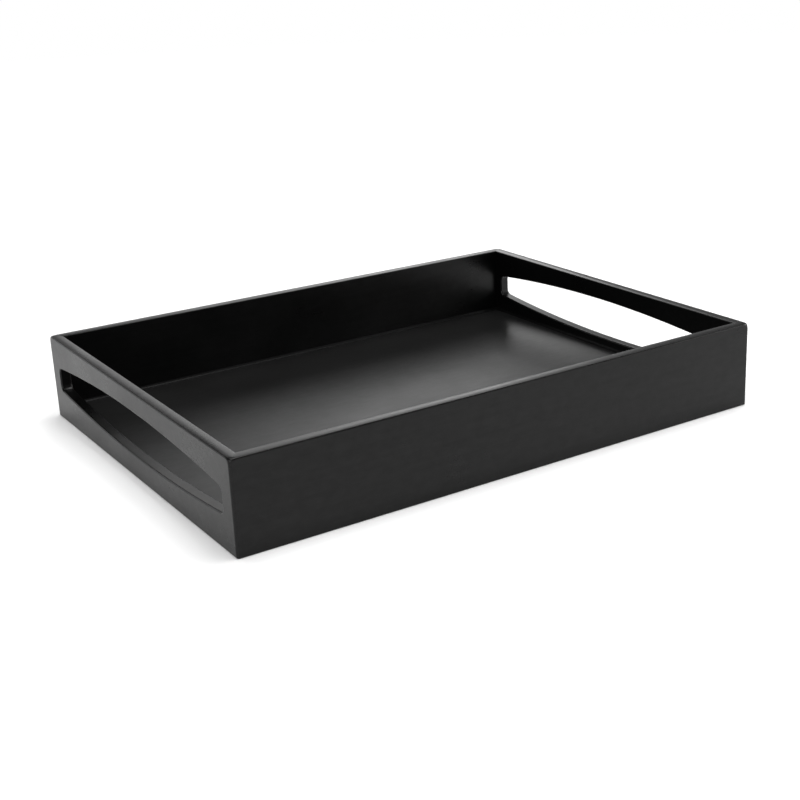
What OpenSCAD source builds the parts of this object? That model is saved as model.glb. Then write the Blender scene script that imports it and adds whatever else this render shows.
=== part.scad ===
// Serving tray: four mitred side boards around a base panel held in a groove,
// with a small bead of filler along the foot of each wall.
// The two short boards have long lens-shaped hand holes.
//
// Millimetres. The origin is the centre of the footprint, on the surface that
// the tray stands on. +X runs along the long sides, +Z is up, and the front
// board is on the -Y side.

/* [Tray] */
// Outside length, along the plain boards
tray_length = 400; // [300:5:500]
// Outside width, along the handle boards
tray_width = 300; // [240:5:400]
// Height of the side boards
tray_height = 61; // [55:1:80]
// Thickness of the side boards
board_thickness = 8; // [7:0.5:10]
// Radius of the eased long edges of the side boards
arris_radius = 1; // [0.4:0.1:2]
// Radius of the upright outside corners of the tray
corner_radius = 2; // [0.6:0.1:3]

/* [Base] */
// Thickness of the base panel
base_thickness = 4; // [3:0.5:5]
// Height of the tray floor above the table
floor_height = 8.5; // [7:0.5:12]
// Depth of the groove that holds the base panel
groove_depth = 3; // [2:0.5:4]
// Gap left between the panel's edge and the bottom of the groove
groove_gap = 0.25; // [0:0.05:0.5]

/* [Floor bead] */
// Width and height of the bead of filler along the foot of each wall
bead_width = 2; // [1:0.1:3]

/* [Hand holes] */
// Distance from each end of a handle board to the end of its hand hole
hole_margin = 14.5; // [13:0.5:60]
// Height of the hand hole at its middle
hole_height_middle = 31.2; // [26:0.2:34]
// Height of the hand hole at its ends
hole_height_end = 16; // [12:0.2:20]
// Height of the hand hole's centre line above the middle of the board
hole_rise = 0.9; // [-2:0.1:2]
// Radius in the four corners of the hand hole
hole_corner_radius = 4; // [2:0.5:5]

/* [Corner splines] */
// Thickness of the spline across each mitre
spline_thickness = 2; // [1.5:0.1:2.2]
// Width of the spline, half of it in each board
spline_width = 6; // [4:0.5:6]
// Height of the spline
spline_length = 38; // [20:1:38]
// Spare depth of the slot at each edge of the spline
spline_gap = 0.2; // [0.1:0.05:0.3]

/* [Hidden] */
$fn = 64;
eps = 0.01;

lacquer = [0.09, 0.09, 0.09];
lacquer_base = [0.11, 0.11, 0.11];
plywood = [0.72, 0.58, 0.40];

// Hand hole: half length, half heights, and the radius of its long arcs
hole_a = tray_width / 2 - hole_margin;
hole_mid = hole_height_middle / 2;
hole_end = hole_height_end / 2;
hole_sag = hole_mid - hole_end;
hole_arc = (hole_a * hole_a + hole_sag * hole_sag) / (2 * hole_sag);
// Height of the hand hole's centre line
hole_z = tray_height / 2 + hole_rise;
// Centres of the corner circles: inside the end wall and inside the arc
hole_cy = hole_a - hole_corner_radius;
hole_cz = sqrt(pow(hole_arc - hole_corner_radius, 2) - hole_cy * hole_cy)
    - (hole_arc - hole_mid);
// Where a corner circle touches the long arc
hole_ty = hole_cy * hole_arc / (hole_arc - hole_corner_radius);

// Hollow face of the floor bead: its depth, its radius, and the distance of
// its centre from the wall and from the floor
bead_sag = 0.15 * bead_width;
bead_arc = (bead_width * bead_width / 2 + bead_sag * bead_sag)
    / (2 * bead_sag);
bead_c = bead_width / 2 + (bead_arc - bead_sag) / sqrt(2);

// The spline's middle, measured along the mitre from the outside corner
spline_s = board_thickness * 0.875;
// The spline stands between the base groove and the rim
spline_z = floor_height + 4;

// ---- profiles ----------------------------------------------------------

// Section of a side board. The outside face is at x = 0 and the bottom edge
// at y = 0. All four long edges are eased, and the groove for the base panel
// opens in the inside face.
module board_section() {
    r = arris_radius;
    t = board_thickness;
    h = tray_height;
    difference() {
        union() {
            translate([r, 0]) square([t - 2 * r, h]);
            translate([0, r]) square([t, h - 2 * r]);
            for (x = [r, t - r], y = [r, h - r])
                translate([x, y]) circle(r);
        }
        translate([t - groove_depth, floor_height - base_thickness])
            square([groove_depth + 1, base_thickness]);
    }
}

// Outline of the hand hole, centred on its own middle, with its length along
// x: two long arcs, upright end walls, and a radius in each corner.
module hand_hole_outline() {
    // between the points where the corner circles touch the arcs
    intersection() {
        translate([0, hole_mid - hole_arc]) circle(hole_arc, $fn = 1440);
        translate([0, hole_arc - hole_mid]) circle(hole_arc, $fn = 1440);
        square([2 * hole_ty, 4 * hole_mid], center = true);
    }
    // out to the end walls, between the corner circles
    square([2 * hole_a, 2 * hole_cz], center = true);
    for (x = [-hole_cy, hole_cy], y = [-hole_cz, hole_cz])
        translate([x, y]) circle(hole_corner_radius);
}

// Section of a floor bead: the foot of the wall is at the origin, the wall
// runs along y, the floor along x, and the face between them is hollow.
module bead_section() {
    difference() {
        square(1.25 * bead_width);
        translate([bead_c, bead_c]) circle(bead_arc, $fn = 180);
    }
}

// ---- building blocks ---------------------------------------------------

// Outside of the whole tray, with its four upright corners eased.
module footprint_block() {
    r = corner_radius;
    lx = tray_length / 2;
    wy = tray_width / 2;
    linear_extrude(tray_height + 2)
        union() {
            square([2 * lx, 2 * (wy - r)], center = true);
            square([2 * (lx - r), 2 * wy], center = true);
            for (x = [r - lx, lx - r], y = [r - wy, wy - r])
                translate([x, y]) circle(r);
        }
}

// A board of the given outside length along +X, centred, with its outside
// face at y = 0, its inside face at y = board_thickness, and mitred ends.
module mitred_board(length) {
    t = board_thickness;
    intersection() {
        rotate([90, 0, 90])
            translate([0, 0, -length / 2 - 1])
                linear_extrude(length + 2) board_section();
        translate([0, 0, -1])
            linear_extrude(tray_height + 2)
                polygon([
                    [-length / 2 - eps, -eps], [length / 2 + eps, -eps],
                    [length / 2 - t - 1, t + 1], [-length / 2 + t + 1, t + 1]
                ]);
    }
}

// A bead of the given length along +X, centred, with its back on the wall at
// y = 0 and its underside on the floor at z = 0, mitred into the corners.
module mitred_bead(length) {
    w = bead_width;
    intersection() {
        rotate([90, 0, 90])
            translate([0, 0, -length / 2 - 1])
                linear_extrude(length + 2) bead_section();
        translate([0, 0, -1])
            linear_extrude(w + 2)
                polygon([
                    [-length / 2 - eps, -eps], [length / 2 + eps, -eps],
                    [length / 2 - w - 1, w + 1], [-length / 2 + w + 1, w + 1]
                ]);
    }
}

// One spline, standing across the mitre of the corner at the origin. The
// mitre runs from the outside corner towards +X +Y.
module spline_block(extra) {
    rotate([0, 0, 45])
        translate([
            spline_s - spline_thickness / 2,
            -spline_width / 2 - extra,
            spline_z - extra
        ])
        cube([
            spline_thickness,
            spline_width + 2 * extra,
            spline_length + 2 * extra
        ]);
}

// A thing made at the front left corner, moved to the corner (sx, sy), where
// -1 is left or front and 1 is right or back.
module at_corner(sx, sy) {
    mirror([sx > 0 ? 1 : 0, 0, 0])
        mirror([0, sy > 0 ? 1 : 0, 0])
            translate([-tray_length / 2, -tray_width / 2, 0]) children();
}

// ---- sub-parts ---------------------------------------------------------

// A long board at the front, with slots for the splines in both mitres.
module long_board() {
    difference() {
        intersection() {
            translate([0, -tray_width / 2, 0]) mitred_board(tray_length);
            translate([0, 0, -1]) footprint_block();
        }
        at_corner(-1, -1) spline_block(spline_gap);
        at_corner(1, -1) spline_block(spline_gap);
    }
}

// A short board at the left, with its hand hole and the same slots.
module handle_board() {
    difference() {
        intersection() {
            translate([-tray_length / 2, 0, 0])
                rotate([0, 0, -90]) mitred_board(tray_width);
            translate([0, 0, -1]) footprint_block();
        }
        translate([-tray_length / 2 - 1, 0, hole_z])
            rotate([90, 0, 90])
                linear_extrude(board_thickness + 2) hand_hole_outline();
        at_corner(-1, -1) spline_block(spline_gap);
        at_corner(-1, 1) spline_block(spline_gap);
    }
}

module front_board() { color(lacquer) long_board(); }

module back_board() { color(lacquer) mirror([0, 1, 0]) long_board(); }

module left_handle_board() { color(lacquer) handle_board(); }

module right_handle_board() { color(lacquer) mirror([1, 0, 0]) handle_board(); }

// The floor of the tray, held in the groove of all four boards.
module base_panel() {
    inset = board_thickness - groove_depth + groove_gap;
    color(lacquer_base)
        translate([
            inset - tray_length / 2,
            inset - tray_width / 2,
            floor_height - base_thickness
        ])
        cube([
            tray_length - 2 * inset,
            tray_width - 2 * inset,
            base_thickness
        ]);
}

// The beads along the foot of the long and the short walls, at the front and
// at the left.
module long_bead() {
    translate([0, board_thickness - tray_width / 2, floor_height])
        mitred_bead(tray_length - 2 * board_thickness);
}

module short_bead() {
    translate([board_thickness - tray_length / 2, 0, floor_height])
        rotate([0, 0, -90]) mitred_bead(tray_width - 2 * board_thickness);
}

module floor_bead_front() { color(lacquer_base) long_bead(); }

module floor_bead_back() { color(lacquer_base) mirror([0, 1, 0]) long_bead(); }

module floor_bead_left() { color(lacquer_base) short_bead(); }

module floor_bead_right() { color(lacquer_base) mirror([1, 0, 0]) short_bead(); }

module mitre_spline(sx, sy) {
    color(plywood) at_corner(sx, sy) spline_block(0);
}

front_board();
back_board();
left_handle_board();
right_handle_board();
base_panel();
floor_bead_front();
floor_bead_back();
floor_bead_left();
floor_bead_right();
mitre_spline(-1, -1);  // mitre_spline_front_left
mitre_spline(1, -1);  // mitre_spline_front_right
mitre_spline(-1, 1);  // mitre_spline_back_left
mitre_spline(1, 1);  // mitre_spline_back_right
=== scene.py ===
import math

import bmesh
import bpy
from mathutils import Matrix, Vector
from mathutils.geometry import tessellate_polygon


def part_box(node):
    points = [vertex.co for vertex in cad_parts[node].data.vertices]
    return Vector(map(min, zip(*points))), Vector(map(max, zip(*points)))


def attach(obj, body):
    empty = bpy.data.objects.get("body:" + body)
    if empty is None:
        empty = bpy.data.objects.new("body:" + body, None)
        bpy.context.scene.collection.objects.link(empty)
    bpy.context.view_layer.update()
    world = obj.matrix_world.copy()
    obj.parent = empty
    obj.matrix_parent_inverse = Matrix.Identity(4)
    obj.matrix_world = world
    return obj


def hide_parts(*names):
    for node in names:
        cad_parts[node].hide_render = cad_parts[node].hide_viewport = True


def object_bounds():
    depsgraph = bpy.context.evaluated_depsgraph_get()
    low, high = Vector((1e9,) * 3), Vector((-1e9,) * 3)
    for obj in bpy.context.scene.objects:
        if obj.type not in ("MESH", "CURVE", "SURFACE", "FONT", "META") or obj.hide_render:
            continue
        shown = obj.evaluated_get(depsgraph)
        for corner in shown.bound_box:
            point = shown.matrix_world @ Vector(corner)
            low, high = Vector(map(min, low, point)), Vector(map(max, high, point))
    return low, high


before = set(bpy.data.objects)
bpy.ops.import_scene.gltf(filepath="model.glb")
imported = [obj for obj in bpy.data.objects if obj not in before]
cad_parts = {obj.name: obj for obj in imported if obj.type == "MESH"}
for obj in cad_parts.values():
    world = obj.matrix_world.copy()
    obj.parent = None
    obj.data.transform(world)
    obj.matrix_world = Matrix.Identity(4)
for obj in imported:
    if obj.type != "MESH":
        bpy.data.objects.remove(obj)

cad_lo, cad_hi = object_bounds()

# ---------------------------------------------------------------------------
# Sizes, in metres. The outside comes from the frame itself.

L = cad_hi.x - cad_lo.x          # along the plain boards
W = cad_hi.y - cad_lo.y          # along the handle boards
H = cad_hi.z                     # height of the boards
T = 0.008                        # board thickness
RA = 0.0010                      # eased long edges of the boards
RI = 0.0005                      # eased inside edge of the rim
RC = 0.0020                      # eased upright outside corners
RH = 0.0012                      # eased edges of the hand holes
CROWN = 0.021                    # radius of the rim's shallow crown
SOFT, SOFT_IN = 0.0060, 0.0014   # the rim's four outside corners are rubbed down: how far from the corner, how deep

base_lo, base_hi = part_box("base_panel")
GZ0, GZ1 = base_lo.z, base_hi.z  # the groove holds the base panel's thickness
GD = 0.003                       # groove depth

HOLE_A = W / 2 - 0.0145          # half length of a hand hole
HOLE_MID = 0.0154                # half height at its middle
HOLE_END = 0.0080                # half height at its ends
HOLE_R = 0.004                   # corner radius
HOLE_Z = H / 2 + 0.0009          # height of its centre line

SPLINE_M = (0.006, 0.008)        # slot across the mitre, from the outside corner
spline_lo, spline_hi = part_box("mitre_spline_front_left")
SPLINE_Z = (spline_lo.z - 0.0002, spline_hi.z + 0.0002)   # slot, upwards
SPLINE_D = 0.0032                # slot depth in each board

BEAD = 0.002                     # width and height of the floor beads
BEAD_SAG = 0.15 * BEAD           # depth of their hollow face


# ---------------------------------------------------------------------------
# Materials

def clear_tree(mat):
    mat.use_nodes = True
    nt = mat.node_tree
    nt.nodes.clear()
    out = nt.nodes.new("ShaderNodeOutputMaterial")
    bsdf = nt.nodes.new("ShaderNodeBsdfPrincipled")
    nt.links.new(bsdf.outputs["BSDF"], out.inputs["Surface"])
    return nt, bsdf


def coords(nt, scale, rotate_z=0.0):
    """Object coordinates in millimetres, divided by scale, so a noise of scale 1 has features of that many mm."""
    tc = nt.nodes.new("ShaderNodeTexCoord")
    mp = nt.nodes.new("ShaderNodeMapping")
    mp.vector_type = "POINT"
    mp.inputs["Rotation"].default_value = (0, 0, rotate_z)
    mp.inputs["Scale"].default_value = tuple(1000.0 / s for s in scale)
    nt.links.new(tc.outputs["Object"], mp.inputs["Vector"])
    return mp.outputs["Vector"]


def noise(nt, vector, detail=2.0, rough=0.5, distortion=0.0, lacunarity=2.0):
    n = nt.nodes.new("ShaderNodeTexNoise")
    n.inputs["Scale"].default_value = 1.0
    n.inputs["Detail"].default_value = detail
    n.inputs["Roughness"].default_value = rough
    n.inputs["Lacunarity"].default_value = lacunarity
    n.inputs["Distortion"].default_value = distortion
    nt.links.new(vector, n.inputs["Vector"])
    return n.outputs["Fac"]


def remap(nt, value, a, b, c, d, clamp=True):
    m = nt.nodes.new("ShaderNodeMapRange")
    m.clamp = clamp
    for key, v in (("From Min", a), ("From Max", b), ("To Min", c), ("To Max", d)):
        m.inputs[key].default_value = v
    nt.links.new(value, m.inputs["Value"])
    return m.outputs["Result"]


def maths(nt, op, a, b):
    m = nt.nodes.new("ShaderNodeMath")
    m.operation = op
    for i, v in enumerate((a, b)):
        if isinstance(v, (int, float)):
            m.inputs[i].default_value = v
        else:
            nt.links.new(v, m.inputs[i])
    return m.outputs["Value"]


def ramp(nt, value, stops):
    r = nt.nodes.new("ShaderNodeValToRGB")
    e = r.color_ramp.elements
    while len(e) > 1:
        e.remove(e[-1])
    e[0].position, e[0].color = stops[0][0], (*stops[0][1], 1)
    for p, c in stops[1:]:
        x = e.new(p)
        x.color = (*c, 1)
    nt.links.new(value, r.inputs["Fac"])
    return r.outputs["Color"]


def bump(nt, height, distance, strength, normal=None):
    b = nt.nodes.new("ShaderNodeBump")
    b.inputs["Distance"].default_value = distance
    b.inputs["Strength"].default_value = strength
    nt.links.new(height, b.inputs["Height"])
    if normal is not None:
        nt.links.new(normal, b.inputs["Normal"])
    return b.outputs["Normal"]


def lacquer(name, along, rough=(0.26, 0.34), grain=1.0, black=(0.0010, 0.0014, 0.0032), shine=0.50):
    """Satin black lacquer over wood, with the grain running along X or Y. Fine orange peel, a faint grain that
    telegraphs through the film, a soft unevenness from hand sanding, and eased edges that are a little more polished."""
    mat = bpy.data.materials.new(name)
    nt, bsdf = clear_tree(mat)
    turn = 0.0 if along == "x" else math.radians(90)

    # large soft patches, where the film is a little thicker or thinner
    patches = noise(nt, coords(nt, (60, 60, 60), turn), 3.0, 0.55)
    # grain lines: long along the board, about a millimetre across it
    lines = noise(nt, coords(nt, (38, 1.1, 1.1), turn), 4.0, 0.6, 0.3)
    # pores: short, thin and sparse
    pores = noise(nt, coords(nt, (7, 0.35, 0.35), turn), 2.0, 0.5)
    pores = remap(nt, pores, 0.60, 0.74, 0.0, 1.0)
    # orange peel of the sprayed film
    peel = noise(nt, coords(nt, (1.7, 1.7, 1.7), turn), 2.0, 0.45)
    # the eased edges, from the mesh
    edge = nt.nodes.new("ShaderNodeAttribute")
    edge.attribute_name = "eased"
    eased = edge.outputs["Fac"]

    # colour: black, a touch warmer and lighter where the film is thin
    tone = maths(nt, "ADD", maths(nt, "MULTIPLY", patches, 0.7), maths(nt, "MULTIPLY", lines, 0.3))
    tone = maths(nt, "ADD", tone, maths(nt, "MULTIPLY", eased, 0.22))
    colour = ramp(nt, tone, [(0.30, (black[0],) * 3), (0.62, (black[1],) * 3), (1.0, (black[2], 0.98 * black[2], 0.94 * black[2]))])
    nt.links.new(colour, bsdf.inputs["Base Color"])

    # roughness: satin, with handling marks and polished edges
    r = remap(nt, patches, 0.3, 0.7, rough[0], rough[1])
    fine = remap(nt, noise(nt, coords(nt, (6, 2.5, 2.5), turn), 4.0, 0.65), 0.3, 0.7, -0.018, 0.018)
    r = maths(nt, "ADD", r, fine)
    r = maths(nt, "SUBTRACT", r, maths(nt, "MULTIPLY", eased, 0.05))
    nt.links.new(r, bsdf.inputs["Roughness"])

    n = bump(nt, patches, 0.00010, 0.35)
    n = bump(nt, lines, 0.000012 * grain, 0.6, n)
    n = bump(nt, maths(nt, "MULTIPLY", pores, -1.0), 0.000010 * grain, 0.6, n)
    n = bump(nt, peel, 0.000010, 0.6, n)
    nt.links.new(n, bsdf.inputs["Normal"])
    bsdf.inputs["IOR"].default_value = 1.30
    # the film reflects a little unevenly: small soft blotches, and faint streaks along the board
    blotch = noise(nt, coords(nt, (9, 6, 6), turn), 3.0, 0.6, 0.4)
    streak = noise(nt, coords(nt, (60, 3.5, 3.5), turn), 3.0, 0.6)
    haze = maths(nt, "ADD", maths(nt, "MULTIPLY", blotch, 0.6), maths(nt, "MULTIPLY", streak, 0.4))
    nt.links.new(remap(nt, haze, 0.35, 0.65, 0.91 * shine, 1.09 * shine), bsdf.inputs["Specular IOR Level"])
    mat.diffuse_color = (0.02, 0.02, 0.02, 1)
    return mat


def bare_wood(name, along):
    """Sawn pale hardwood, where no lacquer goes: mitres, grooves and slots."""
    mat = bpy.data.materials.new(name)
    nt, bsdf = clear_tree(mat)
    turn = 0.0 if along == "x" else math.radians(90)
    rings = noise(nt, coords(nt, (70, 2.2, 2.2), turn), 5.0, 0.6, 0.8)
    fibre = noise(nt, coords(nt, (12, 0.25, 0.25), turn), 3.0, 0.6)
    mix = maths(nt, "ADD", maths(nt, "MULTIPLY", rings, 0.7), maths(nt, "MULTIPLY", fibre, 0.3))
    nt.links.new(ramp(nt, mix, [(0.30, (0.36, 0.22, 0.11)), (0.55, (0.52, 0.35, 0.19)), (0.75, (0.62, 0.45, 0.27))]), bsdf.inputs["Base Color"])
    nt.links.new(remap(nt, fibre, 0.3, 0.7, 0.62, 0.80), bsdf.inputs["Roughness"])
    n = bump(nt, fibre, 0.00006, 0.6)
    nt.links.new(n, bsdf.inputs["Normal"])
    mat.diffuse_color = (0.5, 0.35, 0.2, 1)
    return mat


def plywood(name):
    """Thin birch plywood: the plies show as bands on its edges."""
    mat = bpy.data.materials.new(name)
    nt, bsdf = clear_tree(mat)
    # three plies across the 2 mm, which lies along the mitre, at 45 degrees to the boards
    ply = nt.nodes.new("ShaderNodeTexWave")
    ply.wave_type, ply.bands_direction = "BANDS", "X"
    ply.inputs["Scale"].default_value = 0.32
    ply.inputs["Distortion"].default_value = 0.6
    ply.inputs["Detail"].default_value = 2.0
    nt.links.new(coords(nt, (1, 1, 1), math.radians(45)), ply.inputs["Vector"])
    fibre = noise(nt, coords(nt, (0.3, 0.3, 9)), 3.0, 0.6)
    mix = maths(nt, "ADD", maths(nt, "MULTIPLY", ply.outputs["Fac"], 0.45), maths(nt, "MULTIPLY", fibre, 0.55))
    nt.links.new(ramp(nt, mix, [(0.2, (0.30, 0.18, 0.09)), (0.5, (0.50, 0.34, 0.18)), (0.8, (0.66, 0.50, 0.31))]), bsdf.inputs["Base Color"])
    nt.links.new(remap(nt, fibre, 0.3, 0.7, 0.6, 0.78), bsdf.inputs["Roughness"])
    nt.links.new(bump(nt, fibre, 0.00005, 0.6), bsdf.inputs["Normal"])
    mat.diffuse_color = (0.5, 0.35, 0.2, 1)
    return mat


LACQUER_X = lacquer("satin_black_lacquer_long", "x", rough=(0.27, 0.35))
LACQUER_Y = lacquer("satin_black_lacquer_short", "y")
LACQUER_BASE = lacquer("satin_black_lacquer_base", "x", rough=(0.36, 0.42), grain=0.6, black=(0.0053, 0.0064, 0.0085))
LACQUER_BEAD = lacquer("satin_black_lacquer_bead", "x", rough=(0.36, 0.44), grain=0.4, shine=0.22)
WOOD_X = bare_wood("bare_wood_long", "x")
WOOD_Y = bare_wood("bare_wood_short", "y")
WOOD_BASE = bare_wood("bare_panel_edge", "x")
PLY = plywood("birch_plywood")


# ---------------------------------------------------------------------------
# Meshes

class Builder:
    """Collects vertices that know their own normal, and faces that use those normals or their own flat one."""

    def __init__(self):
        self.v, self.n, self.e, self.f = [], [], [], []

    def add(self, p, n, eased=0.0):
        self.v.append(Vector(p))
        self.n.append(Vector(n).normalized())
        self.e.append(eased)
        return len(self.v) - 1

    def face(self, ids, smooth=True, slot=0, out=None):
        """out is a rough outward direction, which sets the winding."""
        ids = list(ids)
        n = Vector((0, 0, 0))
        for i in range(len(ids)):
            a, b = self.v[ids[i]], self.v[ids[(i + 1) % len(ids)]]
            n += Vector(((a.y - b.y) * (a.z + b.z), (a.z - b.z) * (a.x + b.x), (a.x - b.x) * (a.y + b.y)))
        want = Vector(out) if out is not None else sum((self.n[i] for i in ids), Vector((0, 0, 0)))
        if n.dot(want) < 0:
            ids.reverse()
        self.f.append((ids, smooth, slot))

    def strip(self, a, b, **kw):
        """Quads between two rows of equal length."""
        for i in range(len(a) - 1):
            self.face((a[i], a[i + 1], b[i + 1], b[i]), **kw)

    def object(self, name, matrix, materials):
        me = bpy.data.meshes.new(name)
        me.from_pydata([matrix @ p for p in self.v], [], [f[0] for f in self.f])
        rot = matrix.to_3x3()
        for m in materials:
            me.materials.append(m)
        for poly, (_, _, slot) in zip(me.polygons, self.f):
            poly.material_index = slot
            poly.use_smooth = True
        me.update()
        normals = [None] * len(me.loops)
        for poly, (_, smooth, _) in zip(me.polygons, self.f):
            for li in poly.loop_indices:
                normals[li] = rot @ self.n[me.loops[li].vertex_index] if smooth else poly.normal.copy()
        att = me.attributes.new("eased", "FLOAT", "POINT")
        att.data.foreach_set("value", self.e)
        me.normals_split_custom_set(normals)
        me.validate()
        ob = bpy.data.objects.new(name, me)
        bpy.context.scene.collection.objects.link(ob)
        return ob


def hole_outline(n_arc=48, n_corner=8):
    """The hand hole, as (s, z, the outward normal's s and z), counterclockwise from the upper right; with the counts of
    its upper arc, left end, lower arc and right end, and the arcs' stations.
    """
    sag = HOLE_MID - HOLE_END
    big = (HOLE_A ** 2 + sag ** 2) / (2 * sag)
    cy = HOLE_A - HOLE_R
    cz = math.sqrt((big - HOLE_R) ** 2 - cy ** 2) - (big - HOLE_MID)
    ty = cy * big / (big - HOLE_R)
    stations = [ty - 2 * ty * i / n_arc for i in range(n_arc + 1)]
    a1 = math.asin(ty / big)
    pts = []

    def arc(sign):
        row = []
        for s in stations:
            ang = math.asin(s / big)
            row.append((s, sign * (big * math.cos(ang) - (big - HOLE_MID)), math.sin(ang), sign * math.cos(ang)))
        return row

    def corner(sx, sz):
        """From the arc to the end wall."""
        a0, a2 = math.pi / 2 - a1, 0.0
        row = []
        for i in range(1, n_corner + 1):
            a = a0 + (a2 - a0) * i / n_corner
            row.append((sx * (cy + HOLE_R * math.cos(a)), sz * (cz + HOLE_R * math.sin(a)), sx * math.cos(a), sz * math.sin(a)))
        return row

    up = arc(1)                       # from +s to -s
    left = corner(-1, 1) + corner(-1, -1)[::-1]
    low = arc(-1)[::-1]               # from -s to +s
    right = corner(1, -1) + corner(1, 1)[::-1]
    pts = up + left + low + right
    return pts, len(up), len(left), len(low), len(right), stations


def board(name, length, placed, materials, hole=False):
    """One mitred board. s runs along it, u inwards from its outside face, z up."""
    b = Builder()
    h = length / 2
    na, nc = 6, 6
    near = (0.0030, 0.0044, 0.0062)                  # more stations by the corner, on the outside only
    below = (0.0025, 0.0040, 0.0060)                 # and more rows under the rim, there too
    ne = nc + 1 + len(near)                          # where the stations begin that inside and outside share
    if hole:
        outline, n_up, n_left, n_low, n_right, stations = hole_outline()
        common = stations[::-1]                      # rising s
    else:
        m = 24
        common = [(-1 + 2 * i / m) * (h - T - 0.006) for i in range(m + 1)]
    common = [-(h - T - 0.001)] + common + [h - T - 0.001]

    # the rim's crown leans out by this much where it meets each arris, whose centre is at this height
    lean = math.asin((T / 2 - RA) / (CROWN - RA))
    rim_z = H - CROWN + (CROWN - RA) * math.cos(lean)
    lean_in = math.asin((T / 2 - RI) / (CROWN - RI))
    rim_z_in = H - CROWN + (CROWN - RI) * math.cos(lean_in)

    def outer_row(phi, top, drop=0.0):
        """A row of the outside arris: phi 0 is on the outside face, 90 degrees on the top or bottom. With a drop, it lies on
        the outside face, that far under the rim."""
        w = RA * (1 - math.cos(phi))
        z = (rim_z + RA * math.sin(phi)) if top else (RA - RA * math.sin(phi))
        z = H - drop if drop else z
        nz = math.sin(phi) * (1 if top else -1)
        eased = math.sin(2 * phi)
        row = []

        def at(theta, side):
            s = side * (h - RC + (RC - w) * math.sin(theta))
            u = RC - (RC - w) * math.cos(theta)
            n = (side * math.sin(theta) * math.cos(phi), -math.cos(theta) * math.cos(phi), nz)
            row.append(b.add((s, u, z), n, max(eased, 0.8 * math.sin(2 * theta) if theta > 0 else 0.0)))

        for i in range(nc, -1, -1):
            at(math.radians(45) * i / nc, -1)
        for s in [d - h for d in near] + common + [h - d for d in near[::-1]]:
            row.append(b.add((s, w, z), (0, -math.cos(phi), nz), eased))
        for i in range(nc + 1):
            at(math.radians(45) * i / nc, 1)
        return row

    def inner_row(u, z, n, eased=0.0, more=()):
        row = [b.add((-(h - u), u, z), n, eased)]
        row += [b.add((s, u, z), n, eased) for s in [d - h for d in more] + common + [h - d for d in more[::-1]]]
        row.append(b.add((h - u, u, z), n, eased))
        return row

    quarter = [math.pi / 2 * i / na for i in range(na + 1)]
    short = [(math.pi / 2 - lean) * i / na for i in range(na + 1)]
    short_in = [(math.pi / 2 - lean_in) * i / na for i in range(na + 1)]
    top_out = [outer_row(p, True) for p in short]
    bot_out = [outer_row(p, False) for p in quarter]
    side_out = [outer_row(0.0, True, drop=d) for d in below]
    top_in = [inner_row(T - RI * (1 - math.cos(p)), rim_z_in + RI * math.sin(p), (0, math.cos(p), math.sin(p)), math.sin(2 * p)) for p in short_in]
    # rows over the crown, from the inside to the outside
    n_crown = 6
    for i in range(1, n_crown):
        a = lean_in - (lean_in + lean) * i / n_crown
        more = near if i == n_crown - 1 else ()      # the outermost row has the stations by the corner too
        top_in.append(inner_row(T / 2 + CROWN * math.sin(a), H - CROWN + CROWN * math.cos(a), (0, math.sin(a), math.cos(a)), more=more))
    crown_out = top_in.pop()
    bot_in = [inner_row(T - RA * (1 - math.cos(p)), RA - RA * math.sin(p), (0, math.cos(p), -math.sin(p)), math.sin(2 * p)) for p in quarter]
    in_low = inner_row(T, GZ1, (0, 1, 0))            # bottom of the inside face, on the groove's edge
    g1 = inner_row(T - GD, GZ1, (0, 0, -1))
    g2 = inner_row(T - GD, GZ0, (0, 0, 1))
    lip = inner_row(T, GZ0, (0, 1, 0))

    for rows in (top_out, bot_out, [top_out[0]] + side_out):
        for a, c in zip(rows, rows[1:]):
            b.strip(a, c)
    for rows in (top_in, bot_in):
        for a, c in zip(rows, rows[1:]):
            b.strip(a, c)
    # top and bottom of the board
    for o, i, k, up in ((crown_out, top_in[-1], 1 + len(near), 1), (bot_out[-1], bot_in[-1], ne, -1)):
        oc, ic = o[k:-k], i[1:-1]
        b.strip(oc, ic, out=(0, 0, up))
        b.face(o[:k + 1] + [ic[0], i[0]], out=(0, 0, up))
        b.face(o[-(k + 1):] + [i[-1], ic[-1]], out=(0, 0, up))
    o, c = top_out[-1], crown_out
    b.strip(o[nc + 1:-(nc + 1)], c[1:-1], out=(0, 0, 1))
    for o, c in ((o, c), (o[::-1], c[::-1])):
        for i in range(nc):
            b.face((c[0], o[i], o[i + 1]), out=(0, 0, 1))
        b.face((c[0], o[nc], o[nc + 1], c[1]), out=(0, 0, 1))
    # the groove
    b.strip(in_low, g1, smooth=False, slot=1, out=(0, 0, -1))
    b.strip(g1, g2, smooth=False, slot=1, out=(0, 1, 0))
    b.strip(g2, lip, smooth=False, slot=1, out=(0, 0, 1))
    b.strip(lip, bot_in[0], out=(0, 1, 0))

    if not hole:
        b.strip(bot_out[0], side_out[-1], out=(0, -1, 0))
        b.strip(in_low, top_in[0], out=(0, 1, 0))
    else:
        # rounded wall of the hand hole, from the outside face to the inside face
        rings = []
        prof = [(RH - RH * math.sin(p), RH * (1 - math.cos(p)), p) for p in [math.pi / 2 * (1 - i / na) for i in range(na + 1)]]
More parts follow.
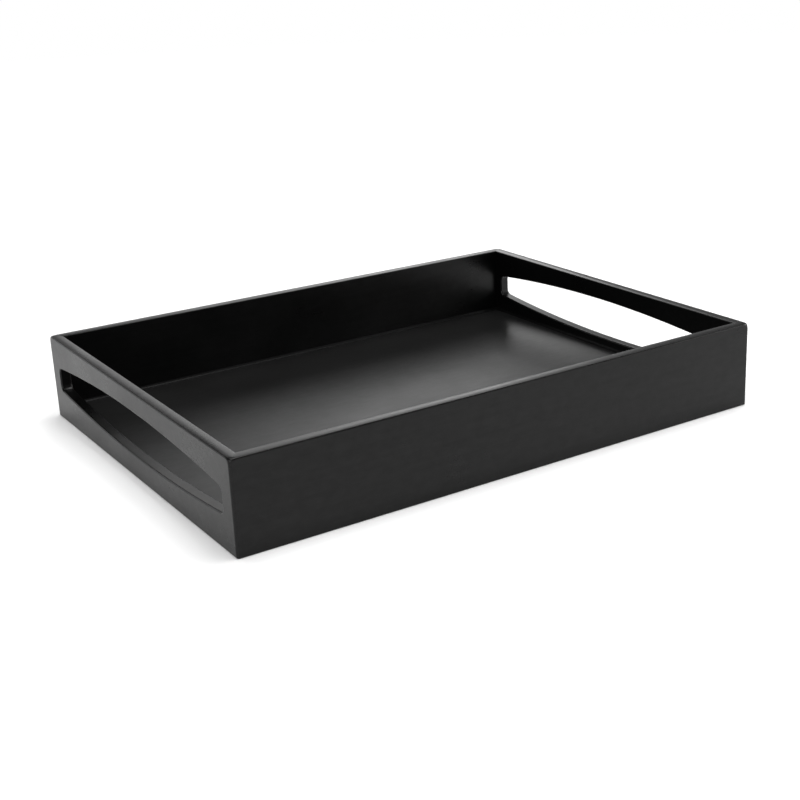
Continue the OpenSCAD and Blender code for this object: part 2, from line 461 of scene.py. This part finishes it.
        # prof: (u, offset into the wood, angle); at the face the offset is RH
        for (s, z, ns, nz) in outline:
            ring = []
            for i in range(na + 1):
                a = math.pi / 2 * i / na              # 0 at the face, 90 degrees on the wall
                u, w = RH * (1 - math.cos(a)), RH * (1 - math.sin(a))
                ring.append(b.add((s + ns * w, u, HOLE_Z + z + nz * w), (-ns * math.sin(a), -math.cos(a), -nz * math.sin(a)), math.sin(2 * a)))
            for i in range(na, -1, -1):
                a = math.pi / 2 * i / na
                u, w = T - RH * (1 - math.cos(a)), RH * (1 - math.sin(a))
                ring.append(b.add((s + ns * w, u, HOLE_Z + z + nz * w), (-ns * math.sin(a), math.cos(a), -nz * math.sin(a)), math.sin(2 * a)))
            rings.append(ring)
        for i in range(len(rings)):
            b.strip(rings[i], rings[(i + 1) % len(rings)])
        for k, (low_row, high_row, y, ends) in enumerate((
            (bot_out[0], side_out[-1], -1, ne),
            (in_low, top_in[0], 1, 1),
        )):
            col = [r[0 if k == 0 else -1] for r in rings]
            lo, hi = low_row[ends + 1:-(ends + 1)], high_row[ends + 1:-(ends + 1)]
            up = col[:n_up][::-1]                     # rising s
            left = col[n_up:n_up + n_left]
            low = col[n_up + n_left:n_up + n_left + n_low]
            right = col[n_up + n_left + n_low:]
            b.strip(up, hi, out=(0, y, 0))
            b.strip(lo, low, out=(0, y, 0))
            b.face([hi[0], up[0]] + left + [low[0], lo[0], low_row[ends], high_row[ends]], out=(0, y, 0))
            b.face([hi[-1], high_row[-(ends + 1)], low_row[-(ends + 1)], lo[-1], low[-1]] + right + [up[-1]], out=(0, y, 0))
            # on past it to the corner
            b.strip(low_row[:ends + 1], high_row[:ends + 1])
            b.strip(low_row[-(ends + 1):], high_row[-(ends + 1):])

    # rub down the outside corners of the rim, the same way on both boards of a corner
    for i, (p, n) in enumerate(zip(b.v, b.n)):
        side = 1 if p.x > 0 else -1
        far = (h - abs(p.x)) + p.y + (H - p.z)
        if far < SOFT:
            into = Vector((-side, 1, -1)) / math.sqrt(3)
            slope = -2 * SOFT_IN * (SOFT - far) / SOFT ** 2
            b.v[i] = p + into * SOFT_IN * ((SOFT - far) / SOFT) ** 2
            grad = into * math.sqrt(3) * slope
            b.n[i] = (n - grad * (into.dot(n) / (1 + into.dot(grad)))).normalized()

    # mitre faces, each with the slot for its spline
    rt = math.sqrt(2)
    loop_rows = top_out + [crown_out] + top_in[::-1] + [in_low, g1, g2, lip] + bot_in + bot_out[::-1] + side_out[::-1]
    for side, end in ((-1, 0), (1, -1)):
        loop = [r[end] for r in loop_rows]
        out = (side, 1, 0)
        d = Vector((-side, -1, 0)) / rt * SPLINE_D
        ring, deep = [], []
        for m, z in ((SPLINE_M[0], SPLINE_Z[0]), (SPLINE_M[1], SPLINE_Z[0]), (SPLINE_M[1], SPLINE_Z[1]), (SPLINE_M[0], SPLINE_Z[1])):
            p = Vector((side * (h - m / rt), m / rt, z))
            ring.append(b.add(p, out))
            deep.append(b.add(p + d, out))
        both = loop + ring
        for tri in tessellate_polygon([[b.v[i] for i in loop], [b.v[i] for i in ring]]):
            b.face([both[i] for i in tri], smooth=False, slot=1, out=out)
        mid = sum((b.v[i] for i in ring + deep), Vector((0, 0, 0))) / 8
        for i in range(4):
            j = (i + 1) % 4
            q = [ring[i], ring[j], deep[j], deep[i]]
            c = sum((b.v[x] for x in q), Vector((0, 0, 0))) / 4
            b.face(q, smooth=False, slot=1, out=mid - c)
        b.face(deep, smooth=False, slot=1, out=out)
    return b.object(name, placed, materials)


def at(x, y, turn):
    return Matrix.Translation((x, y, 0)) @ Matrix.Rotation(math.radians(turn), 4, "Z")


boards = {
    "front_board": board("front_board_lacquered", L, at(0, -W / 2, 0), [LACQUER_X, WOOD_X]),
    "back_board": board("back_board_lacquered", L, at(0, W / 2, 180), [LACQUER_X, WOOD_X]),
    "left_handle_board": board("left_handle_board_lacquered", W, at(-L / 2, 0, -90), [LACQUER_Y, WOOD_Y], hole=True),
    "right_handle_board": board("right_handle_board_lacquered", W, at(L / 2, 0, 90), [LACQUER_Y, WOOD_Y], hole=True),
}
for node, ob in boards.items():
    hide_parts(node)
    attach(ob, "root")


def beveled_block(name, lo, hi, width, materials, matrix=None, grid=(1, 1)):
    """A block with eased edges, its top and bottom divided into a grid."""
    bm = bmesh.new()
    bmesh.ops.create_cube(bm, size=1)
    lo, hi = Vector(lo), Vector(hi)
    for v in bm.verts:
        v.co = Vector((lo[i] + (v.co[i] + 0.5) * (hi[i] - lo[i]) for i in range(3)))
    bmesh.ops.bevel(bm, geom=list(bm.edges), offset=width, segments=3, profile=0.5, affect="EDGES")
    for axis in (0, 1):
        for i in range(1, grid[axis]):
            at_ = lo[axis] + (hi[axis] - lo[axis]) * i / grid[axis]
            no = Vector((axis == 0, axis == 1, 0))
            bmesh.ops.bisect_plane(bm, geom=list(bm.verts) + list(bm.edges) + list(bm.faces), plane_co=no * at_, plane_no=no)
    if matrix is not None:
        bmesh.ops.transform(bm, matrix=matrix, verts=bm.verts)
    bmesh.ops.recalc_face_normals(bm, faces=bm.faces)
    me = bpy.data.meshes.new(name)
    bm.to_mesh(me)
    bm.free()
    for m in materials:
        me.materials.append(m)
    me.attributes.new("eased", "FLOAT", "POINT")
    for p in me.polygons:
        p.use_smooth = True
    me.set_sharp_from_angle(angle=math.radians(60))
    ob = bpy.data.objects.new(name, me)
    bpy.context.scene.collection.objects.link(ob)
    mod = ob.modifiers.new("even_normals", "WEIGHTED_NORMAL")
    mod.keep_sharp = True
    mod.weight = 100
    return ob


# The base panel: lacquered above and below, bare on the edges inside the groove.
base = beveled_block("base_panel_lacquered", base_lo, base_hi, 0.0003, [LACQUER_BASE, WOOD_BASE], grid=(8, 6))
for p in base.data.polygons:
    if abs(p.normal.z) < 0.9:
        p.material_index = 1
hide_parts("base_panel")
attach(base, "root")

def floor_bead(name, length, placed, materials):
    """A hollow-faced bead along the foot of a wall, mitred into the corners. s, u and z as for a board, from the wall's foot."""
    b = Builder()
    z0 = base_hi.z
    big = (BEAD ** 2 / 2 + BEAD_SAG ** 2) / (2 * BEAD_SAG)
    c = BEAD / 2 + (big - BEAD_SAG) / math.sqrt(2)
    a0 = math.atan2(c, c - BEAD)                     # from the centre to the bead's edge on the wall
    n_face, n_long = 8, 32
    stations = [-1 + 2 * i / n_long for i in range(n_long + 1)]

    def row(u, z, n):
        return [b.add((k * (length / 2 - u), u, z0 + z), n) for k in stations]

    face = []
    for i in range(n_face + 1):
        a = math.pi / 2 - a0 + (2 * a0 - math.pi / 2) * i / n_face
        u, z = c - big * math.cos(a), c - big * math.sin(a)
        if i == 0:
            u, z = max(u, 0.0), min(z, BEAD)
        face.append(row(max(u, 0.0), max(z, 0.0), (0, math.cos(a), math.sin(a))))
    foot = row(0.0, 0.0, (0, -1, 0))
    for p, q in zip(face, face[1:]):
        b.strip(p, q)
    b.strip(foot, face[0], smooth=False, out=(0, -1, 0))
    b.strip(foot, face[-1], smooth=False, out=(0, 0, -1))
    for end, side in ((0, -1), (-1, 1)):
        b.face([foot[end]] + [f[end] for f in face], smooth=False, out=(side, 1, 0))
    return b.object(name, placed, materials)


for node, length, x, y, turn in (
    ("floor_bead_front", L - 2 * T, 0, T - W / 2, 0), ("floor_bead_back", L - 2 * T, 0, W / 2 - T, 180),
    ("floor_bead_left", W - 2 * T, T - L / 2, 0, -90), ("floor_bead_right", W - 2 * T, L / 2 - T, 0, 90),
):
    ob = floor_bead(node + "_lacquered", length, at(x, y, turn), [LACQUER_BEAD])
    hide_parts(node)
    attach(ob, "root")

# The splines, standing across the mitres inside the corners.
for node, sx, sy in (
    ("mitre_spline_front_left", -1, -1), ("mitre_spline_front_right", 1, -1),
    ("mitre_spline_back_left", -1, 1), ("mitre_spline_back_right", 1, 1),
):
    z0, z1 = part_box(node)[0].z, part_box(node)[1].z
    # made along the mitre, then turned and moved to its corner
    turn = math.atan2(-sy, -sx)
    m = Matrix.Translation((sx * L / 2, sy * W / 2, 0)) @ Matrix.Rotation(turn, 4, "Z")
    ob = beveled_block(node + "_ply", (SPLINE_M[0], -0.003, z0), (SPLINE_M[1], 0.003, z1), 0.0002, [PLY], matrix=m)
    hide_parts(node)
    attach(ob, "root")


# ---------------------------------------------------------------------------
# Stage, light and camera

def floor_material():
    """Pale paper that glows: a faint painted glow by the object lightens the object's shadow, and the glow grows until
    the floor fades into the white surroundings away from the object.
    """
    mat = bpy.data.materials.new("pale_floor")
    nt, bsdf = clear_tree(mat)
    cloud = noise(nt, coords(nt, (400, 400, 400)), 2.0, 0.5)
    nt.links.new(ramp(nt, cloud, [(0.3, (0.90, 0.90, 0.90)), (0.7, (0.92, 0.92, 0.92))]), bsdf.inputs["Base Color"])
    bsdf.inputs["Roughness"].default_value = 0.9
    bsdf.inputs["Specular IOR Level"].default_value = 0.1
    tc = nt.nodes.new("ShaderNodeTexCoord")
    far = nt.nodes.new("ShaderNodeVectorMath")
    far.operation = "LENGTH"
    nt.links.new(tc.outputs["Object"], far.inputs[0])
    # painted glow: white emission mixed into the floor, though the floor is no lamp
    floor_glow = nt.nodes.new("ShaderNodeEmission")
    floor_glow.inputs["Color"].default_value = (1, 1, 1, 1)
    floor_glow.inputs["Strength"].default_value = 1.1
    fade = nt.nodes.new("ShaderNodeMixShader")
    # the glow is 0.05 by the object, which lightens the object's shadow, and rises to all of it from 1 m out
    nt.links.new(remap(nt, far.outputs["Value"], 0.45, 1.0, 0.05, 1.0), fade.inputs["Fac"])
    nt.links.new(bsdf.outputs["BSDF"], fade.inputs[1])
    nt.links.new(floor_glow.outputs["Emission"], fade.inputs[2])
    out = next(n for n in nt.nodes if n.type == "OUTPUT_MATERIAL")
    nt.links.new(fade.outputs["Shader"], out.inputs["Surface"])
    return mat


bpy.ops.mesh.primitive_circle_add(vertices=96, radius=3.0, fill_type="NGON", location=(0, 0, 0))
floor = bpy.context.object
floor.name = "floor"
floor.data.materials.append(floor_material())


def area(name, azimuth, elevation, distance, size, power, target=(0, 0, 0.03)):
    """A soft box. Azimuth 0 is behind the object (+Y), 90 is to its right (+X)."""
    data = bpy.data.lights.new(name, "AREA")
    data.shape = "RECTANGLE"
    data.size, data.size_y = size
    data.energy = power
    a, e = math.radians(azimuth), math.radians(elevation)
    tgt = Vector(target)
    pos = tgt + Vector((math.sin(a) * math.cos(e), math.cos(a) * math.cos(e), math.sin(e))) * distance
    ob = bpy.data.objects.new(name, data)
    ob.location = pos
    ob.rotation_euler = (pos - tgt).to_track_quat("Z", "Y").to_euler()
    ob.visible_camera = False
    bpy.context.scene.collection.objects.link(ob)
    return ob


def across(degrees, distance):
    """The width that fills this angle, seen from the object."""
    return 2 * distance * math.tan(math.radians(degrees) / 2)


FAR = 2.5
LIGHTS = {
    # behind the object, where the photograph's bright backdrop is
    "backdrop_low_left": area("backdrop_low_left", -30, 6, FAR, (across(36, FAR), across(12, FAR)), 3.0),
    "backdrop_low": area("backdrop_low", 20, 6, FAR, (across(16, FAR), across(12, FAR)), 1.1),
    "backdrop_low_facing": area("backdrop_low_facing", 34, 6, FAR, (across(12, FAR), across(12, FAR)), 0.2),
    "backdrop_low_right": area("backdrop_low_right", 48, 6, FAR, (across(16, FAR), across(12, FAR)), 0.5),
    "backdrop_left": area("backdrop_left", -30, 18, FAR, (across(36, FAR), across(12, FAR)), 3.9),
    "backdrop_centre_left": area("backdrop_centre_left", 0, 18, FAR, (across(24, FAR), across(12, FAR)), 1.2),
    "backdrop_centre": area("backdrop_centre", 20, 18, FAR, (across(16, FAR), across(12, FAR)), 1.5),
    "backdrop_facing": area("backdrop_facing", 34, 18, FAR, (across(12, FAR), across(12, FAR)), 3.3),
    "backdrop_right": area("backdrop_right", 48, 18, FAR, (across(16, FAR), across(12, FAR)), 0.3),
    "backdrop_high_left": area("backdrop_high_left", -30, 32, FAR, (across(36, FAR), across(16, FAR)), 2.2),
    "backdrop_high": area("backdrop_high", 32, 32, FAR, (across(24, FAR), across(16, FAR)), 5.5),
    "backdrop_high_right": area("backdrop_high_right", 60, 32, FAR, (across(30, FAR), across(16, FAR)), 1.1),
    # above
    "overhead": area("overhead", 120, 88, 2.2, (1.6, 1.6), 53.0),
    "top_right": area("top_right", 90, 52, FAR, (across(50, FAR), across(24, FAR)), 2.5),
    # from the right
    "side_right": area("side_right", 85, 18, FAR, (across(26, FAR), across(36, FAR)), 18.0),
    "side_front_right": area("side_front_right", 112, 18, FAR, (across(28, FAR), across(36, FAR)), 24.0),
    # weak fill from the camera's side
    "fill_right": area("fill_right", 140, 20, FAR, (across(28, FAR), across(36, FAR)), 6.0),
    "fill_low_right": area("fill_low_right", 118, 5, FAR, (across(30, FAR), across(8, FAR)), 13.0),
    "fill_front_left": area("fill_front_left", -145, 20, FAR, (across(40, FAR), across(36, FAR)), 20.0),
    "fill_left": area("fill_left", -108, 20, FAR, (across(34, FAR), across(36, FAR)), 18.0),
}

world = bpy.data.worlds.new("studio")
bpy.context.scene.world = world
world.use_nodes = True
wn = world.node_tree
wn.nodes.clear()
w_out = wn.nodes.new("ShaderNodeOutputWorld")
w_mix = wn.nodes.new("ShaderNodeMixShader")
w_path = wn.nodes.new("ShaderNodeLightPath")
w_seen = wn.nodes.new("ShaderNodeBackground")
w_seen.inputs["Color"].default_value = (1, 1, 1, 1)
w_seen.inputs["Strength"].default_value = 1.0
w_amb = wn.nodes.new("ShaderNodeBackground")
w_amb.name = "ambient"
w_amb.inputs["Color"].default_value = (1, 1, 1, 1)
w_amb.inputs["Strength"].default_value = 0.0
wn.links.new(w_path.outputs["Is Camera Ray"], w_mix.inputs["Fac"])
wn.links.new(w_amb.outputs["Background"], w_mix.inputs[1])
wn.links.new(w_seen.outputs["Background"], w_mix.inputs[2])
wn.links.new(w_mix.outputs["Shader"], w_out.inputs["Surface"])

cam_data = bpy.data.cameras.new("camera")
cam_data.sensor_width = 36
cam_data.sensor_fit = "AUTO"
cam_data.lens = 61.2016
cam_data.shift_x, cam_data.shift_y = -0.0705, -0.0384
cam_data.clip_start, cam_data.clip_end = 0.05, 60
cam = bpy.data.objects.new("camera", cam_data)
cam.location = (-0.478433, -0.794694, 0.340639)
cam.rotation_euler = (1.2465377, 0.0322574, -0.5993366)
bpy.context.scene.collection.objects.link(cam)
bpy.context.scene.camera = cam

scene = bpy.context.scene
scene.view_settings.view_transform = "Standard"
scene.view_settings.look = "None"
scene.view_settings.exposure = 0.0
scene.view_settings.gamma = 1.0
scene.cycles.use_denoising = True
scene.cycles.max_bounces = 8
scene.cycles.diffuse_bounces = 4
scene.cycles.glossy_bounces = 5
